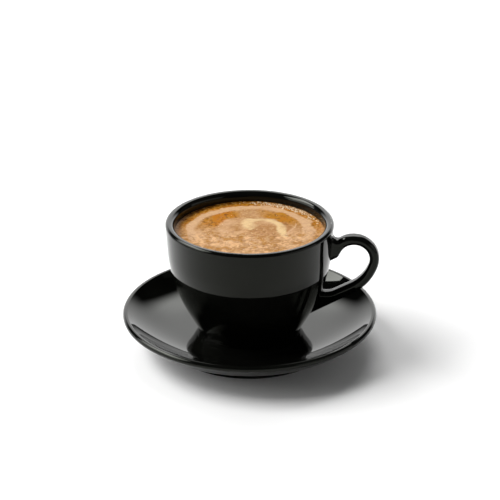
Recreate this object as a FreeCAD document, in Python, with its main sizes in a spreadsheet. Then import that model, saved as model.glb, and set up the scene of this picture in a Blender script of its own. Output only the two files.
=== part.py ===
# Demitasse set: a black glazed cup filled with espresso, standing on its saucer.
# Millimetres, +Z up. The origin is the centre of the saucer's foot, on the table; the
# cup's handle points along +X.
import FreeCAD, Part
import Sketcher
import os
from math import sqrt

doc = FreeCAD.newDocument("espresso_shot")

# Driving sizes -----------------------------------------------------------------------
SIZES = [
    # saucer
    ("saucer_radius", 57.4, "widest radius of the saucer, at its lip"),
    ("saucer_height", 16.45, "top of the lip above the table"),
    ("saucer_lip", 1.45, "radius of the rounded lip"),
    ("well_radius", 27.0, "flat of the dish that the cup stands on"),
    ("well_level", 7.0, "that flat's height above the table"),
    ("saucer_foot_radius", 37.0, "outer radius of the saucer's foot ring"),
    ("saucer_foot_height", 2.5, "foot ring, below the underside of the dish"),
    ("saucer_foot_width", 3.6, "width of the foot ring"),
    ("saucer_recess", 3.0, "recess inside the foot ring"),
    ("saucer_sag", 1.2, "how far the underside bows down from its chord"),
    # cup, measured from the bottom of its own foot
    ("cup_height", 52.4, "foot to the top of the lip"),
    ("rim_radius", 37.4, "widest radius of the bowl, just below the lip"),
    ("lip_radius", 1.45, "outer rounding of the lip"),
    ("wall", 4.0, "thickness of the wall"),
    ("wall_draft", 3.59, "degrees that the upper wall leans out"),
    ("hip_share", 0.4728, "height of the hip as a share of the rim's height"),
    ("belly_share", 0.63, "share of the flank that is rounded"),
    ("neck_radius", 23.9, "radius where the bowl meets its foot"),
    ("foot_radius", 23.1, "radius of the foot ring at the bottom"),
    ("foot_height", 2.6, "height of the foot ring"),
    ("foot_width", 3.4, "width of the foot ring"),
    ("foot_edge", 0.7, "rounding of the foot ring's outer edge"),
    ("foot_recess", 1.4, "recess inside the foot ring"),
    ("floor_thickness", 3.8, "bottom of the bowl, above the recess"),
    # handle, a flat loop with rounded edges; its side view grows with the cup's height
    ("handle_made_for", 52.4, "the cup height that the handle's sizes are given for"),
    ("handle_reach", 20.42, "how far the handle stands out from the rim"),
    ("handle_width", 6.0, "across the handle"),
    ("handle_edge", 2.0, "rounding of its long edges"),
    ("handle_edge_share", 0.48, "most that this rounding takes of the handle's thickness"),
    ("handle_drop", 4.46, "top of the handle below the top of the lip"),
    ("crown_radius", 11.28, "outside of the handle's upper bend"),
    ("crown_end", 16.4, "degrees below level where that bend ends"),
    ("heel_radius", 23.09, "outside of its long lower bend"),
    ("heel_end", 59.6, "degrees below level where that bend ends"),
    ("top_thickness", 4.43, "handle thickness at the top of the loop"),
    ("side_thickness", 4.21, "handle thickness at its outermost point"),
    ("finger_radius", 6.75, "inside of the upper bend"),
    ("finger_end", 16.0, "degrees below level where it ends"),
    ("palm_radius", 16.73, "inside of the lower bend"),
    ("palm_end", 60.8, "degrees below level where it ends"),
    ("notch_radius", 2.0, "hollow between the lip and the top of the handle"),
    ("root_start", 25.0, "degrees above level, on the cup's side, where the root begins"),
    ("root_length", 1.8, "straight underside of the upper root"),
    ("root_corner", 2.4, "rounding at the root's lower corner"),
    ("root_turn", 35.0, "degrees that this corner turns"),
    ("lower_root_radius", 7.0, "hollow between the lower arm and the bowl"),
    ("lower_root_inset", 2.8, "rim radius less the radius where that hollow ends"),
    # drink
    ("fill_drop", 4.9, "surface of the drink below the top of the lip"),
]
sheet = doc.addObject("Spreadsheet::Sheet", "Sizes")
for row, (alias, value, note) in enumerate(SIZES, start=1):
    sheet.set("A%d" % row, alias)
    sheet.set("B%d" % row, str(value))
    sheet.set("C%d" % row, note)
    sheet.setAlias("B%d" % row, alias)
doc.recompute()


def size(alias):
    """The sheet's cell, as a term of a formula."""
    return "Sizes." + alias


def number(formula):
    """What a formula comes to with the sheet's present numbers."""
    return float(sheet.evalExpression(formula))


def plus(a, b):
    return "(%s + %s)" % (a, b)


def minus(a, b):
    return "(%s - %s)" % (a, b)


def times(a, b):
    return "(%s * %s)" % (a, b)


def over(a, b):
    return "(%s / %s)" % (a, b)


def length(dx, dy):
    return "sqrt(%s * %s + %s * %s)" % (dx, dx, dy, dy)


def polar(centre, radius, degrees):
    """The point at a radius and an angle from a centre."""
    return (plus(centre[0], "%s * cos(%s)" % (radius, degrees)),
            plus(centre[1], "%s * sin(%s)" % (radius, degrees)))


def along(point, direction, distance):
    return (plus(point[0], times(direction[0], distance)),
            plus(point[1], times(direction[1], distance)))


# Sketches ----------------------------------------------------------------------------
def arc_centre(start, end, radius, turn):
    """Centre of the arc shorter than a half turn, left of its path if turn is 1."""
    chord = end - start
    side = FreeCAD.Vector(-chord.y, chord.x, 0).normalize()
    rise = sqrt(max(radius ** 2 - (chord.Length / 2) ** 2, 0))
    return (start + end) * 0.5 + side * (rise * turn)


def bind(sk, constraint, label, formula):
    index = sk.addConstraint(constraint)
    sk.renameConstraint(index, label)
    sk.setExpression("Constraints." + label, formula)


def outline(body, name, steps):
    """A closed outline in the body's XZ plane. Each step is the edge that leads to a
    corner: (x, y) for a straight one, or (x, y, radius, turn) for an arc, which turns
    left if turn is 1 and right if it is -1."""
    plane = [f for f in body.Origin.OriginFeatures if f.Role == "XZ_Plane"][0]
    sk = body.newObject("Sketcher::SketchObject", name)
    sk.AttachmentSupport = (plane, [""])
    sk.MapMode = "FlatFace"
    corners = [FreeCAD.Vector(number(s[0]), number(s[1]), 0) for s in steps]
    starts, ends = [], []
    for i, step in enumerate(steps):
        start, end = corners[i - 1], corners[i]
        first, last = 1, 2
        if len(step) == 2:
            geo = sk.addGeometry(Part.LineSegment(start, end), False)
        else:
            radius, turn = number(step[2]), step[3]
            centre = arc_centre(start, end, radius, turn)
            top = (start + end) * 0.5 - centre
            middle = centre + top.normalize() * radius
            geo = sk.addGeometry(Part.Arc(start, middle, end), False)
            if turn < 0:
                first, last = 2, 1
            bind(sk, Sketcher.Constraint("Radius", geo, radius), "round%d" % i, step[2])
        starts.append((geo, first))
        ends.append((geo, last))
    for i, step in enumerate(steps):
        sk.addConstraint(Sketcher.Constraint("Coincident", *ends[i - 1], *starts[i]))
        for kind, formula, axis in (("DistanceX", step[0], -2), ("DistanceY", step[1], -1)):
            if formula == "0":
                sk.addConstraint(Sketcher.Constraint("PointOnObject", *ends[i], axis))
            else:
                bind(sk, Sketcher.Constraint(kind, -1, 1, *ends[i], number(formula)),
                     "%s%d" % (kind[-1].lower(), i), formula)
    return sk


def new_body(label):
    body = doc.addObject("PartDesign::Body", label)
    body.Label = label
    return body


def turned(body, name, profile, feature="PartDesign::Revolution"):
    """The profile turned a whole turn about the body's upright axis."""
    turn = body.newObject(feature, name)
    turn.Profile = profile
    turn.ReferenceAxis = (profile, ["V_Axis"])
    turn.Angle = 360
    profile.Visibility = False
    return turn


# Saucer ------------------------------------------------------------------------------
# A coupe dish: a flat well that sweeps up in one arc to a rounded lip, on a foot ring.
nose = (minus(size("saucer_radius"), size("saucer_lip")),
        minus(size("saucer_height"), size("saucer_lip")))
run = minus(nose[0], size("well_radius"))
rise = minus(nose[1], size("well_level"))
sweep = over("(%s * %s + %s * %s - %s * %s)" % (run, run, rise, rise,
                                                 size("saucer_lip"), size("saucer_lip")),
             times("2", plus(rise, size("saucer_lip"))))
sweep_centre = (size("well_radius"), plus(size("well_level"), sweep))
# the sweep meets the lip on the line through both centres
reach = plus(sweep, size("saucer_lip"))
lip_in = (minus(nose[0], "%s * %s / %s" % (size("saucer_lip"), run, reach)),
          plus(nose[1], "%s * %s / %s" % (size("saucer_lip"),
                                         minus(sweep_centre[1], nose[1]), reach)))
lip_out = (plus(nose[0], times("0.6", size("saucer_lip"))),
           minus(nose[1], times("0.8", size("saucer_lip"))))
foot_out = (plus(size("saucer_foot_radius"), "0.6"), size("saucer_foot_height"))
under = length(minus(lip_out[0], foot_out[0]), minus(lip_out[1], foot_out[1]))
under_radius = "(%s * %s / (8 * %s) + %s / 2)" % (under, under, size("saucer_sag"),
                                                 size("saucer_sag"))
foot_in = minus(size("saucer_foot_radius"), size("saucer_foot_width"))
saucer = new_body("saucer")
saucer_profile = outline(saucer, "saucer_profile", [
    ("0", size("saucer_recess")),
    (minus(foot_in, "0.6"), size("saucer_recess")),
    (foot_in, "0"),
    (size("saucer_foot_radius"), "0"),
    foot_out,
    lip_out + (under_radius, 1),
    (size("saucer_radius"), nose[1], size("saucer_lip"), 1),
    (nose[0], size("saucer_height"), size("saucer_lip"), 1),
    lip_in + (size("saucer_lip"), 1),
    (size("well_radius"), size("well_level"), sweep, -1),
    ("0", size("well_level")),
])
turned(saucer, "saucer_turned", saucer_profile)

# Cup ---------------------------------------------------------------------------------
# The bowl's side is a flank from the neck and a nearly upright wall, joined by one arc
# at the hip, where the two straight lines would meet.
d2 = ("sin(%s)" % size("wall_draft"), "cos(%s)" % size("wall_draft"))
lip_top = (minus(size("rim_radius"), size("lip_radius")), size("cup_height"))
rim = (plus(lip_top[0], times(size("lip_radius"), d2[1])),
       minus(size("cup_height"), "%s * (1 + %s)" % (size("lip_radius"), d2[0])))
upper_rise = times(rim[1], minus("1", size("hip_share")))
hip = (minus(rim[0], "%s * tan(%s)" % (upper_rise, size("wall_draft"))),
       minus(rim[1], upper_rise))
flank_run = minus(hip[0], size("neck_radius"))
flank_rise = minus(hip[1], size("foot_height"))
flank = length(flank_run, flank_rise)
d1 = (over(flank_run, flank), over(flank_rise, flank))
tangent = times(size("belly_share"), flank)
facing = "(%s * %s + %s * %s)" % (d1[0], d2[0], d1[1], d2[1])
belly = "(%s * sqrt((1 + %s) / (1 - %s)))" % (tangent, facing, facing)
belly_low = along(hip, d1, "(-%s)" % tangent)
belly_high = along(hip, d2, tangent)
# inside, the same lines and arc a wall's thickness further in
inner_low = (minus(belly_low[0], times(size("wall"), d1[1])),
             plus(belly_low[1], times(size("wall"), d1[0])))
inner_high = (minus(belly_high[0], times(size("wall"), d2[1])),
              plus(belly_high[1], times(size("wall"), d2[0])))
inner_belly = minus(belly, size("wall"))
slope = over(d2[0], d2[1])
edge_x = plus(inner_high[0], times(slope, minus(lip_top[1], inner_high[1])))
lip_run = minus(lip_top[0], edge_x)
inner_lip = (minus(edge_x, times(lip_run, d2[0])), minus(lip_top[1], times(lip_run, d2[1])))
inner_lip_radius = "(%s * %s / (1 - %s))" % (lip_run, d2[1], d2[0])
floor = plus(size("foot_recess"), size("floor_thickness"))
floor_run = over(minus(inner_low[1], floor), d1[1])
floor_edge = minus(minus(inner_low[0], times(floor_run, d1[0])), floor_run)
floor_radius = "(%s * %s / (1 - %s))" % (floor_run, d1[1], d1[0])

# The handle is drawn flat: its outside runs from the notch under the lip over the crown
# and down the heel, its inside back up round the finger hole to the upper root.
grow = over(size("cup_height"), size("handle_made_for"))
reach_x = plus(size("rim_radius"), times(grow, size("handle_reach")))
top_z = minus(size("cup_height"), times(grow, size("handle_drop")))
crown_radius = times(grow, size("crown_radius"))
heel_radius = times(grow, size("heel_radius"))
finger_radius = times(grow, size("finger_radius"))
palm_radius = times(grow, size("palm_radius"))
crown = (minus(reach_x, crown_radius), minus(top_z, crown_radius))
notch_x = plus(minus(size("rim_radius"), "0.3"), size("notch_radius"))
notch_reach = plus(crown_radius, size("notch_radius"))
notch_run = minus(crown[0], notch_x)
notch_rise = "sqrt(%s * %s - %s * %s)" % (notch_reach, notch_reach, notch_run, notch_run)
notch_share = over(crown_radius, notch_reach)
notch_end = (minus(crown[0], times(notch_run, notch_share)),
             plus(crown[1], times(notch_rise, notch_share)))
notch_z = plus(crown[1], notch_rise)
crown_out = polar(crown, crown_radius, "-" + size("crown_end"))
heel = polar(crown, minus(crown_radius, heel_radius),
             "-" + size("crown_end"))
heel_out = polar(heel, heel_radius, "-" + size("heel_end"))
inside_x = minus(size("rim_radius"), times("1.9", size("wall")))
heel_in = (size("neck_radius"),
           minus(heel_out[1], "(%s - %s) / tan(%s)" % (
               heel_out[0], size("neck_radius"), size("heel_end"))))
finger = (minus(minus(reach_x, times(grow, size("side_thickness"))), finger_radius),
          minus(minus(top_z, times(grow, size("top_thickness"))), finger_radius))
finger_out = polar(finger, finger_radius, "-" + size("finger_end"))
palm = polar(finger, minus(finger_radius, palm_radius),
             "-" + size("finger_end"))
palm_out = polar(palm, palm_radius, "-" + size("palm_end"))
# the lower arm's upper edge, levelled off where it meets the bowl
level_x = minus(size("rim_radius"), size("lower_root_inset"))
bend_x = plus(level_x, "%s * cos(%s)" % (size("lower_root_radius"), size("palm_end")))
bend_z = minus(palm_out[1], "(%s - %s) / tan(%s)" % (palm_out[0], bend_x,
                                                    size("palm_end")))
level_z = minus(bend_z, "%s * (1 - sin(%s))" % (size("lower_root_radius"),
                                                size("palm_end")))
root_angle = minus("180", size("root_start"))
root_out = polar(finger, finger_radius, root_angle)
root_heading = minus("270", size("root_start"))
root_low = polar(root_out, size("root_length"), root_heading)
corner_centre = polar(root_low, size("root_corner"), minus(root_heading, "90"))
corner_end = polar(corner_centre, size("root_corner"),
                   minus(plus(root_heading, "90"), size("root_turn")))
last_heading = minus(root_heading, size("root_turn"))
root_in_z = plus(corner_end[1], "(%s - %s) * tan(%s)" % (inside_x, corner_end[0],
                                                        last_heading))

cup = new_body("cup")
cup.setExpression("Placement.Base.z", size("well_level"))
handle_outline = outline(cup, "handle_outline", [
    (inside_x, notch_z),
    (minus(size("rim_radius"), "0.3"), notch_z),
    notch_end + (size("notch_radius"), 1),
    crown_out + (crown_radius, -1),
    heel_out + (heel_radius, -1),
    heel_in,
    (size("neck_radius"), level_z),
    (level_x, level_z),
    (bend_x, bend_z, size("lower_root_radius"), 1),
    palm_out,
    finger_out + (palm_radius, 1),
    (finger[0], plus(finger[1], finger_radius), finger_radius, 1),
    root_out + (finger_radius, 1),
    root_low,
    corner_end + (size("root_corner"), -1),
    (inside_x, root_in_z),
])
handle = cup.newObject("PartDesign::Pad", "handle_slab")
handle.Profile = handle_outline
handle.SideType = "Symmetric"
handle.setExpression("Length", size("handle_width"))
handle_outline.Visibility = False
doc.recompute()
half = number(size("handle_width")) / 2
long_edges = [
    "Edge%d" % (i + 1) for i, e in enumerate(handle.Shape.Edges)
    if abs(abs(e.BoundBox.YMin) - half) < 1e-6 and e.BoundBox.YLength < 1e-6
    and e.BoundBox.XMax > number(inside_x) + 1e-6]
handle_rounded = cup.newObject("PartDesign::Fillet", "handle_edges")
handle_rounded.Base = (handle, long_edges)
handle_rounded.setExpression("Radius", "min(%s; %s)" % (
    size("handle_edge"),
    times(size("handle_edge_share"), times(grow, size("side_thickness")))))

bowl_profile = outline(cup, "bowl_profile", [
    ("0", size("foot_recess")),
    (minus(minus(size("foot_radius"), size("foot_width")), "0.8"), size("foot_recess")),
    (minus(size("foot_radius"), size("foot_width")), "0"),
    (minus(size("foot_radius"), size("foot_edge")), "0"),
    (size("foot_radius"), size("foot_edge"), size("foot_edge"), 1),
    (size("neck_radius"), size("foot_height")),
    belly_low,
    belly_high + (belly, 1),
    rim,
    lip_top + (size("lip_radius"), 1),
    inner_lip + (inner_lip_radius, 1),
    ("0", inner_lip[1]),
])
turned(cup, "bowl_turned", bowl_profile)
cavity_profile = outline(cup, "cavity_profile", [
    ("0", floor),
    (floor_edge, floor),
    inner_low + (floor_radius, 1),
    inner_high + (inner_belly, 1),
    inner_lip,
    ("0", inner_lip[1]),
])
turned(cup, "cavity", cavity_profile, "PartDesign::Groove")

# Drink -------------------------------------------------------------------------------
# It fills the cavity up to its own level.
fill = minus(size("cup_height"), size("fill_drop"))
fill_x = plus(inner_high[0], times(slope, minus(fill, inner_high[1])))
espresso = new_body("espresso")
espresso.setExpression("Placement.Base.z", size("well_level"))
drink_profile = outline(espresso, "drink_profile", [
    ("0", floor),
    (floor_edge, floor),
    inner_low + (floor_radius, 1),
    inner_high + (inner_belly, 1),
    (fill_x, fill),
    ("0", fill),
])
turned(espresso, "drink_turned", drink_profile)

# Checks and files ----------------------------------------------------------------------
doc.recompute()
for obj in doc.Objects:
    if "Invalid" in obj.State or "Error" in obj.State:
        raise RuntimeError("%s didn't build: %s" % (obj.Label, obj.State))
os.makedirs("parts", exist_ok=True)
pieces = [saucer, cup, espresso]
for piece in pieces:
    if piece.Shape.isNull() or not piece.Shape.isValid():
        raise RuntimeError("%s has no valid shape" % piece.Label)
    if len(piece.Shape.Solids) != 1:
        raise RuntimeError("%s isn't one solid" % piece.Label)
for piece in pieces:
    piece.Shape.exportStep("parts/%s.step" % piece.Label)
    box = piece.Shape.optimalBoundingBox()
    print(piece.Label, round(piece.Shape.Volume, 1), [round(v, 3) for v in (
        box.XMin, box.XMax, box.YMin, box.YMax, box.ZMin, box.ZMax)])
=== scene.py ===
import math
import random

import bmesh
import bpy
import numpy as np
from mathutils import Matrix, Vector


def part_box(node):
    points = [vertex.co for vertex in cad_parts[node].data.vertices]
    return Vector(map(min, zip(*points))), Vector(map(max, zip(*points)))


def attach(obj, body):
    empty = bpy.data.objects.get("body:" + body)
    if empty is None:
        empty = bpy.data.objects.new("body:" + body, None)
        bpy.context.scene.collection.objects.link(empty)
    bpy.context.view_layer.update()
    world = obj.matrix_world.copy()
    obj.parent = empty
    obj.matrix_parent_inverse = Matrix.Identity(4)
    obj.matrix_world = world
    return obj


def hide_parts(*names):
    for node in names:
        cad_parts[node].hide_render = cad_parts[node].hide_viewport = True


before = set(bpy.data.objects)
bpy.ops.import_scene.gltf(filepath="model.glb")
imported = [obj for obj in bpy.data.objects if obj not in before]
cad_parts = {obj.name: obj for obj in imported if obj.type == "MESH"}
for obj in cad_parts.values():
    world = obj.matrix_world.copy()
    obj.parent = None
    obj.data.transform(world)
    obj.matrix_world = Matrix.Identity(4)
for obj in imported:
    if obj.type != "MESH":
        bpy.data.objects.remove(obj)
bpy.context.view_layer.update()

MM = 0.001
TURN = math.radians(6.5)   # the crema's pattern and the lights are laid out square to the front view

scene = bpy.context.scene


# ---------------------------------------------------------------- helpers

def linear(r, g, b):
    """The linear colour of 0-255 screen values."""
    def one(v):
        v = v / 255
        return v / 12.92 if v <= 0.04045 else ((v + 0.055) / 1.055) ** 2.4
    return (one(r), one(g), one(b))


def smooth(low, high, v):
    """0 below low, 1 above high, eased between (low may be the larger of the two)."""
    t = np.clip((v - low) / (high - low), 0.0, 1.0)
    return t * t * (3 - 2 * t)


LATTICE = np.random.default_rng(7).uniform(-1, 1, (64, 64))


def fractal(u, v, scale, layers=4, seed=0.0):
    """Soft noise of about -1 to 1 over arrays u, v, with features of the given size in mm."""
    total, size, amount, whole = 0.0, scale, 1.0, 0.0
    for k in range(layers):
        turn = 0.6 + 1.3 * k + seed
        a = (u * math.cos(turn) - v * math.sin(turn)) / size + 7.3 * seed + 11.0
        b = (u * math.sin(turn) + v * math.cos(turn)) / size - 3.1 * seed + 5.0
        i, j = np.floor(a).astype(int), np.floor(b).astype(int)
        s, t = smooth(0, 1, a - i), smooth(0, 1, b - j)
        left = LATTICE[i % 64, j % 64] * (1 - t) + LATTICE[i % 64, (j + 1) % 64] * t
        right = LATTICE[(i + 1) % 64, j % 64] * (1 - t) + LATTICE[(i + 1) % 64, (j + 1) % 64] * t
        total = total + amount * (left * (1 - s) + right * s)
        whole += amount
        size, amount = size * 0.5, amount * 0.6
    return 1.7 * total / whole


def place(u, v, w):
    """A point u right, v away and w up, in metres, turned into the frame's own axes."""
    return Vector((u * math.cos(TURN) - v * math.sin(TURN),
                   u * math.sin(TURN) + v * math.cos(TURN), w))


class Nodes:
    """A node material under construction."""

    def __init__(self, name):
        self.mat = bpy.data.materials.new(name)
        self.mat.use_nodes = True
        self.tree = self.mat.node_tree
        self.bsdf = self.tree.nodes["Principled BSDF"]

    def add(self, kind, inputs=(), **settings):
        node = self.tree.nodes.new(kind)
        for key, value in settings.items():
            setattr(node, key, value)
        for key, value in dict(inputs).items():
            self.feed(node, key, value)
        return node

    def feed(self, node, key, value):
        if isinstance(value, bpy.types.NodeSocket):
            self.tree.links.new(value, node.inputs[key])
        else:
            node.inputs[key].default_value = value

    def shade(self, **inputs):
        """Sets or links the shader's own sockets, with _ for each space in their names."""
        for key, value in inputs.items():
            self.feed(self.bsdf, key.replace("_", " "), value)

    def where(self):
        """The point on the object, in metres."""
        return self.add("ShaderNodeTexCoord").outputs["Object"]

    def noise(self, scale, detail=2.0, rough=0.5, at=None):
        return self.add("ShaderNodeTexNoise", {"Vector": at or self.where(), "Scale": scale,
                                               "Detail": detail, "Roughness": rough}).outputs["Fac"]

    def remap(self, value, a, b, c, d):
        """a to b carried over to c to d, and no further."""
        return self.add("ShaderNodeMapRange", {"Value": value, "From Min": a, "From Max": b,
                                               "To Min": c, "To Max": d}).outputs["Result"]

    def ease(self, value, a, b):
        """0 at a, 1 at b, eased between."""
        return self.add("ShaderNodeMapRange", {"Value": value, "From Min": a, "From Max": b},
                        interpolation_type="SMOOTHSTEP").outputs["Result"]

    def math(self, operation, a, b=0.0):
        return self.add("ShaderNodeMath", {0: a, 1: b}, operation=operation).outputs[0]

    def mix(self, factor, a, b, blend="MIX"):
        """Colours a and b mixed by a factor; each is a socket or three numbers."""
        node = self.add("ShaderNodeMix", data_type="RGBA", blend_type=blend)
        self.feed(node, 0, factor)
        for key, value in ((6, a), (7, b)):
            if not isinstance(value, bpy.types.NodeSocket):
                value = (*value, 1.0)
            self.feed(node, key, value)
        return node.outputs[2]

    def bump(self, height, distance, strength=1.0):
        return self.add("ShaderNodeBump", {"Height": height, "Distance": distance,
                                           "Strength": strength}).outputs["Normal"]


# ---------------------------------------------------------------- camera

ELEVATION, DISTANCE = math.radians(24.29), 734.9 * MM
TARGET = place(0.17 * MM, 0, 45.09 * MM)
back = place(0, -math.cos(ELEVATION), math.sin(ELEVATION))
camera_data = bpy.data.cameras.new("camera")
camera_data.sensor_width = 36
camera_data.lens = 118.5
camera_data.clip_start, camera_data.clip_end = 0.01, 20
camera = bpy.data.objects.new("camera", camera_data)
camera.location = TARGET + back * DISTANCE
camera.rotation_euler = back.to_track_quat("Z", "Y").to_euler()
scene.collection.objects.link(camera)
scene.camera = camera


# ---------------------------------------------------------------- glaze on cup and saucer

GLAZE_DEEP = (0.0012, 0.0013, 0.0011)
GLAZE_CLOUD = (0.0032, 0.0034, 0.0028)
GLAZE_SPECK = (0.012, 0.012, 0.011)
GLAZE_TINT = (0.46, 0.48, 0.42, 1.0)


def glaze(name, seed):
    """Black glaze: deep and glossy, a little wavy, with faint cloudy patches and a few specks."""
    m = Nodes(name)
    at = m.add("ShaderNodeMapping", {"Vector": m.where(), "Location": (seed, -seed, seed * 0.5)}).outputs[0]
    cloud = m.noise(38, 4, 0.6, at)
    speck = m.add("ShaderNodeTexVoronoi", {"Vector": at, "Scale": 260.0}).outputs["Distance"]
    speck = m.remap(speck, 0.03, 0.10, 1.0, 0.0)
    tone = m.mix(m.remap(cloud, 0.35, 0.7, 0.0, 1.0), GLAZE_DEEP, GLAZE_CLOUD)
    some = m.remap(m.noise(60, 1, 0.5, at), 0.6, 0.7, 0.0, 0.5)
    tone = m.mix(m.math("MULTIPLY", speck, some), tone, GLAZE_SPECK)
    rough = m.remap(m.noise(120, 3, 0.6, at), 0.3, 0.75, 0.018, 0.06)
    wave = m.noise(70, 2, 0.5, at)
    fine = m.noise(900, 1, 0.5, at)
    height = m.math("ADD", wave, m.math("MULTIPLY", fine, 0.02))
    m.shade(Base_Color=tone, Roughness=rough, IOR=1.4, Normal=m.bump(height, 0.00003, 0.6),
            Specular_Tint=GLAZE_TINT)
    return m.mat


def profile(node):
    """The outline (radius, height) of a turned node, axis to axis, from its vertices on one meridian."""
    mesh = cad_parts[node].data
    tiny = 1e-8
    spot = [(round(v.co.x, 8), round(v.co.z, 8)) if abs(v.co.y) < tiny and v.co.x > -tiny else None
            for v in mesh.vertices]
    joined = {}
    for edge in mesh.edges:
        a, b = (spot[k] for k in edge.vertices)
        if a and b and a != b:
            joined.setdefault(a, set()).add(b)
            joined.setdefault(b, set()).add(a)
    widest = max(joined)
    line = [widest]
    for _ in range(2):
        line.reverse()
        while True:
            ways = [p for p in joined[line[-1]] if p not in line]
            if not ways:
                break
            line.append(max(ways))
    return [(0.0, line[0][1])] + line + [(0.0, line[-1][1])]


def lathe(name, outline, around):
    """A finely turned mesh from an outline that starts and ends on the axis."""
    verts = [(0, 0, outline[0][1]), (0, 0, outline[-1][1])]
    faces, rings = [], []
    for r, z in outline[1:-1]:
        rings.append(len(verts))
        for k in range(around):
            t = 2 * math.pi * k / around
            verts.append((r * math.cos(t), r * math.sin(t), z))
    for k in range(around):
        n = (k + 1) % around
        faces.append((0, rings[0] + n, rings[0] + k))
        faces.append((1, rings[-1] + k, rings[-1] + n))
        faces += [(a + k, a + n, b + n, b + k) for a, b in zip(rings, rings[1:])]
    mesh = bpy.data.meshes.new(name)
    mesh.from_pydata(verts, [], faces)
    return mesh


def tidy_normals(mesh):
    """Faces turned outwards and shaded smooth, with edges sharper than 30 degrees kept."""
    bm = bmesh.new()
    bm.from_mesh(mesh)
    bmesh.ops.recalc_face_normals(bm, faces=bm.faces)
    bm.to_mesh(mesh)
    bm.free()
    mesh.shade_smooth()
    mesh.set_sharp_from_angle(angle=math.radians(30))


def add_piece(name, mesh, mat):
    obj = bpy.data.objects.new(name, mesh)
    scene.collection.objects.link(obj)
    mesh.materials.append(mat)
    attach(obj, "root")
    return obj


cup_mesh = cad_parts["cup"].data
cup_mesh.materials.clear()
cup_mesh.materials.append(glaze("cup_glaze", 0.3))

SAUCER_SEGMENTS = 288
saucer_mesh = lathe("turned_saucer", profile("saucer"), SAUCER_SEGMENTS)
tidy_normals(saucer_mesh)
saucer = add_piece("turned_saucer", saucer_mesh, glaze("saucer_glaze", 1.7))
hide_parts("saucer")


# ---------------------------------------------------------------- crema

low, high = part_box("espresso")
LEVEL, BOTTOM = high.z, low.z
REACH = (high.x - low.x) / 2     # radius of the drink where it meets the wall
SEAT = 0.3 * MM                  # how far the piece reaches into the wall

BEIGE = linear(164, 122, 77)
PALE = linear(195, 157, 119)
CREAM = linear(207, 178, 132)
AMBER = linear(163, 108, 14)
ORANGE = linear(168, 103, 8)
# BROWN: dark crema for the pores and the hidden sides, and also the painted shade at the crema's edge
# behind
BROWN = linear(80, 42, 12)
PINK = linear(206, 163, 118)
TAUPE = linear(152, 106, 60)
FOAM = linear(226, 212, 184)
WET_FOAM = linear(205, 165, 118)
GRAIN_SHADE, GRAIN_LIGHT = (0.78, 0.70, 0.60), (1.10, 1.08, 1.02)      # multiply the tone

# Strokes in the crema, the last one darker: points (right, away) and half width there, in mm.
SWIRL = [(1.5, 1.5, 1.8), (0.8, 4.2, 3.4), (-1.4, 8.0, 3.4), (1.0, 11.6, 2.8), (5.0, 12.4, 2.4),
         (9.4, 11.2, 2.3), (12.6, 8.0, 2.4), (13.9, 3.6, 2.3), (15.0, -1.2, 2.0), (16.0, -5.2, 1.4)]
TAIL = [(16.2, -4.8, 0.9), (18.2, -1.0, 0.8), (19.6, 3.2, 0.7), (20.6, 8.2, 0.6)]
SHADE = [(16.0, 9.0, 1.3), (17.2, 4.6, 1.4), (17.0, 0.2, 1.0)]


def near(stroke, u, v):
    """1 on the stroke's middle line, falling to 0 at its sides."""
    best = np.zeros_like(u)
    for (ax, ay, aw), (bx, by, bw) in zip(stroke, stroke[1:]):
        dx, dy = bx - ax, by - ay
        t = np.clip(((u - ax) * dx + (v - ay) * dy) / (dx * dx + dy * dy), 0.0, 1.0)
        away = np.hypot(u - ax - t * dx, v - ay - t * dy) / (aw + t * (bw - aw))
        best = np.maximum(best, 1 - smooth(0.35, 1.1, away))
    return best


def band(u, v, middle, radius, start, end, width):
    """1 inside a curved band round a middle point: its radius, angles in degrees and half width."""
    angle = np.degrees(np.arctan2(v, u))
    along = smooth(start - 12, start + 10, angle) * (1 - smooth(end - 10, end + 12, angle))
    across = np.abs(np.hypot(u - middle[0], v - middle[1]) - radius)
    return along * (1 - smooth(0.66 * width, width, across))


def blend(a, b, t):
    """Colours a turned towards b by t, row by row."""
    return a + (np.asarray(b) - a) * np.clip(t, 0, 1)[:, None]


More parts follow.
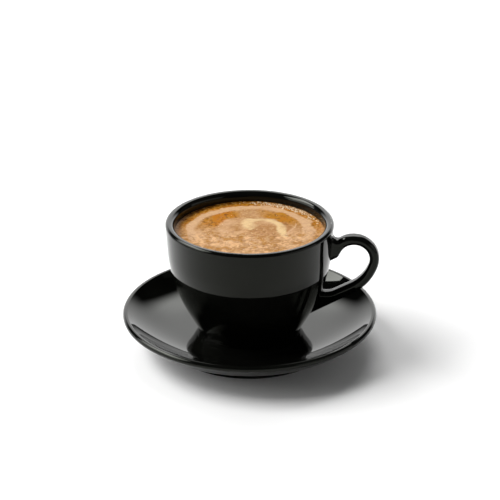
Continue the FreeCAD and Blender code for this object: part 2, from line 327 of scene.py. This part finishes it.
def crema_at(x, y):
    """Colours and heights (mm) of the crema over points of the frame (m). u is mm right, v mm away."""
    x, y = np.asarray(x, float), np.asarray(y, float)
    u = (x * math.cos(TURN) + y * math.sin(TURN)) / MM
    v = (-x * math.sin(TURN) + y * math.cos(TURN)) / MM
    r, angle = np.hypot(u, v), np.degrees(np.arctan2(v, u))
    wu = u + 1.5 * fractal(u, v, 7, 4, 3.1)
    wv = v + 1.5 * fractal(u, v, 7, 4, 8.4)
    wr = np.hypot(wu, wv)
    fine = fractal(u, v, 2.2, 4, 5.2)
    grain = fractal(u, v, 0.9, 3, 1.9)
    broad = fractal(u, v, 6.0, 3, 6.6)
    amber = np.tile(AMBER, (len(u), 1))
    colour = blend(np.tile(BEIGE, (len(u), 1)), PALE, 0.35 + 0.6 * broad)
    height = 0.05 * broad

    # the mottled front half
    front = smooth(4, -6, wv + 3 * broad)
    colour = blend(colour, PINK, front * smooth(0.1, 0.5, fine))
    colour = blend(colour, AMBER, front * smooth(0.1, 0.7, -fine) * 0.6)
    height = height + front * 0.06 * fine

    # amber patches with darker flecks, left and right of the middle, behind
    patch = np.maximum(band(wu, wv, (0, 0.5), 19.2, 106, 166, 5.6),
                       band(wu, wv, (1, 0.5), 19.8, 22, 74, 4.6))
    colour = blend(colour, blend(amber, ORANGE, smooth(0.0, 0.8, broad + 0.6 * fine)),
                   patch * (0.97 + 0.15 * fine))
    height = height - 0.06 * patch

    # light ring, the amber rim outside it, and painted shade at the crema's edge behind
    ring = 1 - smooth(1.2, 2.3, np.abs(wr - 26.8))
    ring = ring * np.where(angle > -90, smooth(-35, 5, angle), smooth(-150, -175, angle))
    colour = blend(colour, PALE, ring * 0.95)
    height = height + 0.05 * ring
    behind = smooth(-8, 10, v)
    rim = smooth(28.2, 29.4, wr) * (0.2 + 0.8 * behind)
    colour = blend(colour, blend(amber, ORANGE, smooth(-0.5, 0.5, fine)), rim * 0.95)
    # painted shadow: the back-left wall's shadow on the crema next to it, laid in as brown
    painted_wall_shadow = smooth(29.0, 32.4, wr) * smooth(80, 110, angle) * (1 - smooth(145, 165, angle))
    colour = blend(colour, BROWN, painted_wall_shadow * smooth(-0.3, 0.5, fine) * 0.7)
    # the crema's amber edge against the wall is its own colour; the brown added towards the back is painted
    # shade of the back wall
    edge = smooth(32.0, 33.0, r)
    colour = blend(colour, blend(amber, BROWN, 0.15 + 0.5 * behind), edge * 0.6)

    # the pale swirl, and the darker crema it curls round
    colour = blend(colour, TAUPE, (1 - smooth(4.0, 9.0, np.hypot(wu - 6.5, wv + 0.5))) * 0.6)
    swirl = near(SWIRL, wu, wv)
    colour = blend(colour, CREAM, swirl * (0.85 + 0.3 * fine))
    height = height + 0.10 * swirl
    tail = near(TAIL, wu, wv)
    colour = blend(colour, PALE, tail * 0.8)
    height = height + 0.04 * tail
    colour = blend(colour, TAUPE, near(SHADE, wu, wv) * 0.7)

    # pores and grains
    # the pores are the crema's own, but their extra share inside the painted wall shadow darkens that
    # painted shadow further
    pores = smooth(0.32, 0.62, grain) * (0.12 + 0.55 * patch + 0.5 * painted_wall_shadow + 0.5 * rim + 0.22 * front)
    colour = blend(colour, BROWN, np.minimum(0.8, pores))
    height = height - 0.06 * pores
    colour = blend(colour, CREAM, smooth(0.4, 0.8, -grain) * 0.35 * (1 - patch))

    # the drink climbs a little where it wets the wall
    height = height + 0.32 * smooth(31.4, 33.4, r) ** 2
    return colour, height


def wall_radius(levels):
    """The drink's outer radius at each level, read from its node's vertices."""
    co = np.array([v.co[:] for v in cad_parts["espresso"].data.vertices])
    rz = sorted({(round(float(z), 7), round(float(math.hypot(x, y)), 7)) for x, y, z in co})
    outline = {}
    for z, r in rz:
        outline[z] = max(r, outline.get(z, 0))
    zs = sorted(outline)
    return [float(np.interp(z, zs, [outline[k] for k in zs])) for z in levels]


CREMA_CELLS = 216                # along each side of the grid that is bent into the round top
SIDE_RINGS = 12


def crema_piece(cells):
    """The whole drink as one closed mesh: patterned top, sides just inside the wall, and bottom."""
    outer = REACH + SEAT
    top = []
    for j in range(cells + 1):
        for i in range(cells + 1):
            a, b = 2 * i / cells - 1, 2 * j / cells - 1
            if a == 0 and b == 0:
                top.append((0.0, 0.0))
                continue
            if abs(a) > abs(b):
                r, t = a, math.pi / 4 * b / a
            else:
                r, t = b, math.pi / 2 - math.pi / 4 * a / b
            top.append((outer * r * math.cos(t), outer * r * math.sin(t)))
    colours, heights = crema_at(*zip(*top))
    colours = [tuple(c) for c in colours]
    verts = [(x, y, LEVEL + h * MM) for (x, y), h in zip(top, heights)]
    n = cells + 1
    faces = [(j * n + i, j * n + i + 1, (j + 1) * n + i + 1, (j + 1) * n + i)
             for j in range(cells) for i in range(cells)]
    around = list(range(cells)) + [i * n + cells for i in range(cells)]
    around += [cells * n + cells - i for i in range(cells)] + [(cells - i) * n for i in range(cells)]
    levels = [LEVEL - 0.6 * MM]
    levels += [LEVEL + (BOTTOM - LEVEL) * k / SIDE_RINGS for k in range(1, SIDE_RINGS + 1)]
    below = around
    for z, r in zip(levels, wall_radius(levels)):
        ring = []
        for k in around:
            x, y, _ = verts[k]
            s = (r + SEAT) / math.hypot(x, y)
            ring.append(len(verts))
            verts.append((x * s, y * s, z))
            colours.append(BROWN)
        faces += [(below[k], ring[k], ring[(k + 1) % len(ring)], below[(k + 1) % len(ring)])
                  for k in range(len(ring))]
        below = ring
    middle = len(verts)
    verts.append((0, 0, BOTTOM))
    colours.append(BROWN)
    faces += [(below[k], middle, below[(k + 1) % len(below)]) for k in range(len(below))]
    mesh = bpy.data.meshes.new("crema")
    mesh.from_pydata(verts, [], faces)
    paint = mesh.color_attributes.new("tone", "FLOAT_COLOR", "POINT")
    paint.data.foreach_set("color", [c for colour in colours for c in (*colour, 1.0)])
    tidy_normals(mesh)
    return mesh


def crema_material():
    """Fine wet foam: the painted pattern, finely grained, glossier near the wall where it is wet."""
    m = Nodes("crema")
    tone = m.add("ShaderNodeVertexColor", layer_name="tone").outputs["Color"]
    grain = m.noise(2600, 3, 0.6)
    patch = m.noise(420, 3, 0.55)
    tone = m.mix(m.remap(grain, 0.35, 0.7, 0.0, 0.5), tone, GRAIN_SHADE, "MULTIPLY")
    tone = m.mix(m.remap(patch, 0.45, 0.75, 0.0, 0.5), tone, GRAIN_LIGHT, "MULTIPLY")
    height = m.math("ADD", m.math("MULTIPLY", grain, 0.35), patch)
    x, y, _ = m.add("ShaderNodeSeparateXYZ", {"Vector": m.where()}).outputs
    out = m.math("SQRT", m.math("ADD", m.math("MULTIPLY", x, x), m.math("MULTIPLY", y, y)))
    wet = m.remap(out, REACH - 2.5 * MM, REACH - 0.5 * MM, 0.0, 1.0)
    m.shade(Base_Color=tone, Roughness=m.remap(wet, 0.0, 1.0, 0.4, 0.28), IOR=1.33,
            Specular_IOR_Level=m.remap(wet, 0.0, 1.0, 0.03, 0.12), Normal=m.bump(height, 0.00012, 0.5))
    return m.mat


crema = add_piece("crema", crema_piece(CREMA_CELLS), crema_material())
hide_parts("espresso")


# ---------------------------------------------------------------- bubbles on the crema

BUBBLES, BUBBLE_TRIES = 300, 9000
BUBBLE_EDGE = round(REACH / MM, 1) - 0.1    # mm from the axis, just inside the wall
STRING_SHARE = 0.85              # of the bubbles, in the string along the wall
STRING_ANGLE, STRING_SPREAD = 56, 13        # degrees from straight right towards straight away
FLATTENING = 0.75                # height of a bubble over its width


def bubble_spots():
    """Places (mm right, mm away) and radii in mm: a string along the back wall, and a scatter."""
    rng = random.Random(12)
    spots = []
    for _ in range(BUBBLE_TRIES):
        if len(spots) == BUBBLES:
            break
        if rng.random() < STRING_SHARE:
            angle = math.radians(rng.gauss(STRING_ANGLE, STRING_SPREAD))
            r = BUBBLE_EDGE - 0.2 - abs(rng.gauss(0, 1.1))
            size = rng.uniform(0.2, 0.62)
        else:
            angle = math.radians(rng.uniform(-180, 180))
            r = (BUBBLE_EDGE - 1.1) * math.sqrt(rng.random())
            size = rng.uniform(0.08, 0.18)
        u, v = r * math.cos(angle), r * math.sin(angle)
        free = all(math.hypot(u - a, v - b) >= 0.85 * (size + s) for a, b, s in spots)
        if free and r + 0.6 * size <= BUBBLE_EDGE:
            spots.append((u, v, size))
    return spots


def bubble_mesh():
    """Small domes of foam, each a flattened ball sunk a little into the crema."""
    around, rows = 12, 6
    verts, faces = [], []
    for u, v, size in bubble_spots():
        p = place(u * MM, v * MM, 0)
        z = LEVEL + (crema_at([p.x], [p.y])[1][0] - 0.15 * size) * MM
        first = len(verts)
        for k in range(1, rows):
            lean = math.pi * k / rows
            for j in range(around):
                t = 2 * math.pi * j / around
                verts.append((p.x + size * MM * math.sin(lean) * math.cos(t),
                              p.y + size * MM * math.sin(lean) * math.sin(t),
                              z + FLATTENING * size * MM * math.cos(lean)))
        verts += [(p.x, p.y, z + FLATTENING * size * MM), (p.x, p.y, z - FLATTENING * size * MM)]
        summit, nadir, last = len(verts) - 2, len(verts) - 1, first + (rows - 2) * around
        for j in range(around):
            n = (j + 1) % around
            faces.append((summit, first + j, first + n))
            faces.append((nadir, last + n, last + j))
            for k in range(rows - 2):
                i = first + k * around
                faces.append((i + j, i + around + j, i + around + n, i + n))
    mesh = bpy.data.meshes.new("bubbles")
    mesh.from_pydata(verts, [], faces)
    tidy_normals(mesh)
    return mesh


def bubble_material():
    """Clear wet foam, from the crema's own colour to a pale one."""
    m = Nodes("bubbles")
    spread = m.noise(900, 2, 0.5)
    tone = m.mix(m.remap(spread, 0.35, 0.65, 0.0, 1.0), WET_FOAM, FOAM)
    m.shade(Base_Color=tone, Roughness=m.remap(spread, 0.3, 0.7, 0.08, 0.2), IOR=1.33,
            Normal=m.bump(m.noise(3000, 2, 0.5), 0.00003, 0.4))
    return m.mat


bubbles = add_piece("bubbles", bubble_mesh(), bubble_material())


# ---------------------------------------------------------------- stage and light

FLOOR = 4                        # metres from the middle to each side
floor_mesh = bpy.data.meshes.new("floor")
floor_mesh.from_pydata([(-FLOOR, -FLOOR, 0), (FLOOR, -FLOOR, 0), (FLOOR, FLOOR, 0), (-FLOOR, FLOOR, 0)],
                       [], [(0, 1, 2, 3)])
floor = bpy.data.objects.new("floor", floor_mesh)
scene.collection.objects.link(floor)
paper = Nodes("paper")
paper.shade(Base_Color=paper.mix(paper.noise(9, 3, 0.6), (0.88, 0.88, 0.88), (0.92, 0.92, 0.915)),
            Roughness=0.9, Normal=paper.bump(paper.noise(400, 2, 0.6), 0.0001, 0.2))
floor_mesh.materials.append(paper.mat)

scene.world = bpy.data.worlds.new("world")
scene.world.use_nodes = True
sky = scene.world.node_tree.nodes["Background"]
sky.inputs["Color"].default_value = (1, 1, 1, 1)
sky.inputs["Strength"].default_value = 0.09

AIM = Vector((0, 0, 30 * MM))


def softbox(name, azimuth, elevation, away, width, height, radiance):
    """A soft light seen from the cup at an azimuth (0 = straight behind, + = right) and elevation."""
    a, e = math.radians(azimuth), math.radians(elevation)
    data = bpy.data.lights.new(name, "AREA")
    data.shape, data.size, data.size_y = "RECTANGLE", width, height
    data.energy = radiance * math.pi * width * height
    obj = bpy.data.objects.new(name, data)
    obj.location = place(away * math.cos(e) * math.sin(a), away * math.cos(e) * math.cos(a),
                         AIM.z + away * math.sin(e))
    obj.rotation_euler = (obj.location - AIM).to_track_quat("Z", "Y").to_euler()
    scene.collection.objects.link(obj)


softbox("left", -78, 47, 1.5, 1.15, 0.55, 13)
softbox("left_low", -92, 24, 1.7, 1.6, 0.8, 3.6)
softbox("right", 110, 16, 1.7, 1.8, 0.8, 0.8)


def backlight():
    """An upright glowing sheet behind: brightest high in the middle, faint and wide near the floor."""
    half, tall = 2.2, 3.8
    mesh = bpy.data.meshes.new("backlight")
    mesh.from_pydata([(-half, 0, 0), (half, 0, 0), (half, 0, tall), (-half, 0, tall)], [], [(0, 1, 2, 3)])
    obj = bpy.data.objects.new("backlight", mesh)
    obj.location, obj.rotation_euler = place(0, 1.7, 0.02), (0, 0, TURN)
    scene.collection.objects.link(obj)
    m = Nodes("backlight")
    x, _, z = m.add("ShaderNodeSeparateXYZ", {"Vector": m.where()}).outputs
    aside = m.math("ABSOLUTE", x)
    high = m.math("MULTIPLY", m.ease(aside, 1.0, 0.5), m.ease(z, 0.4, 1.6))
    high = m.math("MULTIPLY", m.math("MULTIPLY", high, m.ease(z, 3.7, 3.0)), 5.4)
    wide = m.math("MULTIPLY", m.math("MULTIPLY", m.ease(z, 1.1, 0.4), m.ease(aside, 2.1, 1.2)), 1.9)
    glow = m.add("ShaderNodeEmission", {"Color": (1, 1, 1, 1), "Strength": m.math("ADD", high, wide)})
    m.tree.links.new(glow.outputs[0], m.tree.nodes["Material Output"].inputs["Surface"])
    mesh.materials.append(m.mat)


backlight()

scene.view_settings.view_transform = "Standard"
scene.view_settings.look = "None"
